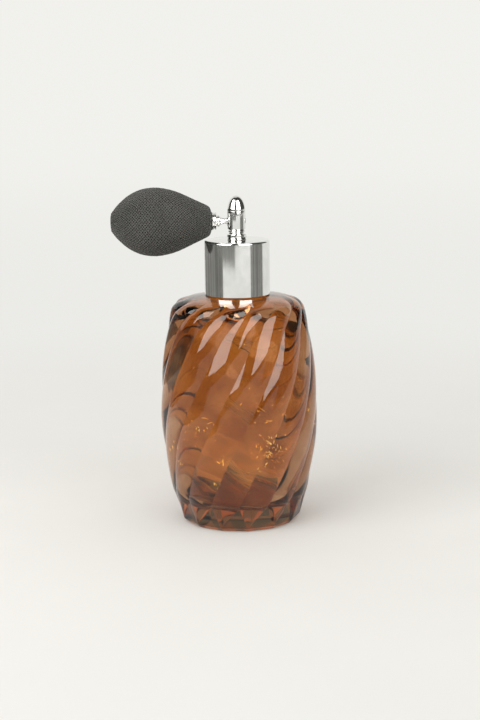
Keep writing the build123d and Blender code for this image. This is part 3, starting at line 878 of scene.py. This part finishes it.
def sweep():
    """A floor that rises into a wall all round."""
    flat_r, curve_r, wall_top = 2.4, 1.2, 4.0
    profile = [(radius, FLOOR) for radius in (0.0, 0.3, 0.8, 1.6, flat_r)]
    for n in range(1, 13):
        bend = math.pi / 2 * n / 12
        profile.append((flat_r + curve_r * math.sin(bend), curve_r - curve_r * math.cos(bend)))
    profile.append((flat_r + curve_r, wall_top))
    angles = [TURN * k / 96 for k in range(96)]
    rows = [[(r * math.cos(a), r * math.sin(a), z) for a in angles] for r, z in profile]
    return stage_mesh("floor_sweep", rows, sweep_material())


def cloth(name, dark, light):
    """Plain cloth with soft upright streaks."""
    made, shader = surface(name, Roughness=1.0)
    drift = noise(made, 26, 3.0, (1, 1, 0.06))
    link(made, colours(made, drift.outputs["Fac"], [(0.3, dark), (0.7, light)]), shader.inputs["Base Color"])
    return made


def lamp_cloth():
    """The lit front of a softbox. It is even, as the gradient stays at its low end this far out."""
    made = bpy.data.materials.new("softbox_front")
    made.use_nodes = True
    place_node = add_node(made, "ShaderNodeTexCoord")
    middle = add_node(made, "ShaderNodeTexGradient", {"gradient_type": "SPHERICAL"})
    link(made, place_node.outputs["Object"], middle.inputs["Vector"])
    glow = add_node(made, "ShaderNodeEmission", Color=(1.0, 0.985, 0.95, 1))
    strength = spread(made, middle.outputs["Fac"], 5.6, 7.6, 0.2, 0.9)
    link(made, strength, glow.inputs["Strength"])
    link(made, glow.outputs["Emission"], made.node_tree.nodes["Material Output"].inputs["Surface"])
    return made


def bearing(azimuth, elevation):
    """The unit vector to a place in the studio, in degrees from the camera's side, positive to +X."""
    az, el = math.radians(azimuth), math.radians(elevation)
    return Vector((math.sin(az) * math.cos(el), -math.cos(az) * math.cos(el), math.sin(el)))


def dome_patch(name, radius, from_az, to_az, low, high, material):
    """A patch of a sphere round the bottle's middle, which only reflections and refractions see."""
    rows = []
    for n in range(13):
        elevation = low + (high - low) * n / 12
        row = []
        for k in range(33):
            spot = radius * bearing(from_az + (to_az - from_az) * k / 32, elevation)
            row.append(spot + Vector((0, 0, MIDDLE_Z)))
        rows.append(row)
    patch = stage_mesh(name, rows, material, ring=False)
    patch.visible_camera = False
    patch.visible_diffuse = False
    patch.visible_shadow = False
    return patch


def softbox(name, azimuth, elevation, distance, width, height, watts):
    """A large soft light that faces the bottle."""
    data = bpy.data.lights.new(name, "AREA")
    data.shape = "RECTANGLE"
    data.size, data.size_y = width, height
    data.energy = watts
    data.color = (1.0, 0.985, 0.96)
    made = bpy.data.objects.new(name, data)
    bpy.context.collection.objects.link(made)
    target = Vector((0, 0, MIDDLE_Z))
    made.location = target + distance * bearing(azimuth, elevation)
    made.rotation_euler = (target - made.location).to_track_quat("-Z", "Y").to_euler()
    made.visible_camera = False
    made.visible_glossy = False
    made.visible_transmission = False
    return made


MIDDLE_Z = 0.11
DARK = cloth("dark_cloth", (0.035, 0.035, 0.03), (0.06, 0.06, 0.055))
GREY = cloth("grey_cloth", (0.11, 0.11, 0.105), (0.34, 0.34, 0.325))
LAMP = lamp_cloth()
sweep()
# radius, azimuths from and to, elevations from and to
dome_patch("flag_left", 0.42, -150, -50, -15, 4, GREY)
dome_patch("flag_right", 0.42, 47, 99, -15, 4, GREY)
dome_patch("flag_middle", 0.72, -112, -6, -2.5, 4, GREY)
dome_patch("flag_upper", 1.2, -115, 130, 1, 90, DARK)
dome_patch("softbox_left_front", 1.0, -72, -22, 6, 56, LAMP)
dome_patch("softbox_right_front", 1.0, 8, 53, 4, 54, LAMP)
# azimuth, elevation, distance, width, height, watts
softbox("softbox_left", -47, 32, 0.95, 0.80, 0.55, 3.7)
softbox("softbox_right", 29, 32, 0.95, 0.66, 0.62, 0.7)

world = bpy.data.worlds.new("room")
world.use_nodes = True
world.node_tree.nodes["Background"].inputs["Color"].default_value = (1.0, 0.99, 0.965, 1)
world.node_tree.nodes["Background"].inputs["Strength"].default_value = 0.78
bpy.context.scene.world = world
bpy.context.scene.view_settings.view_transform = "Standard"
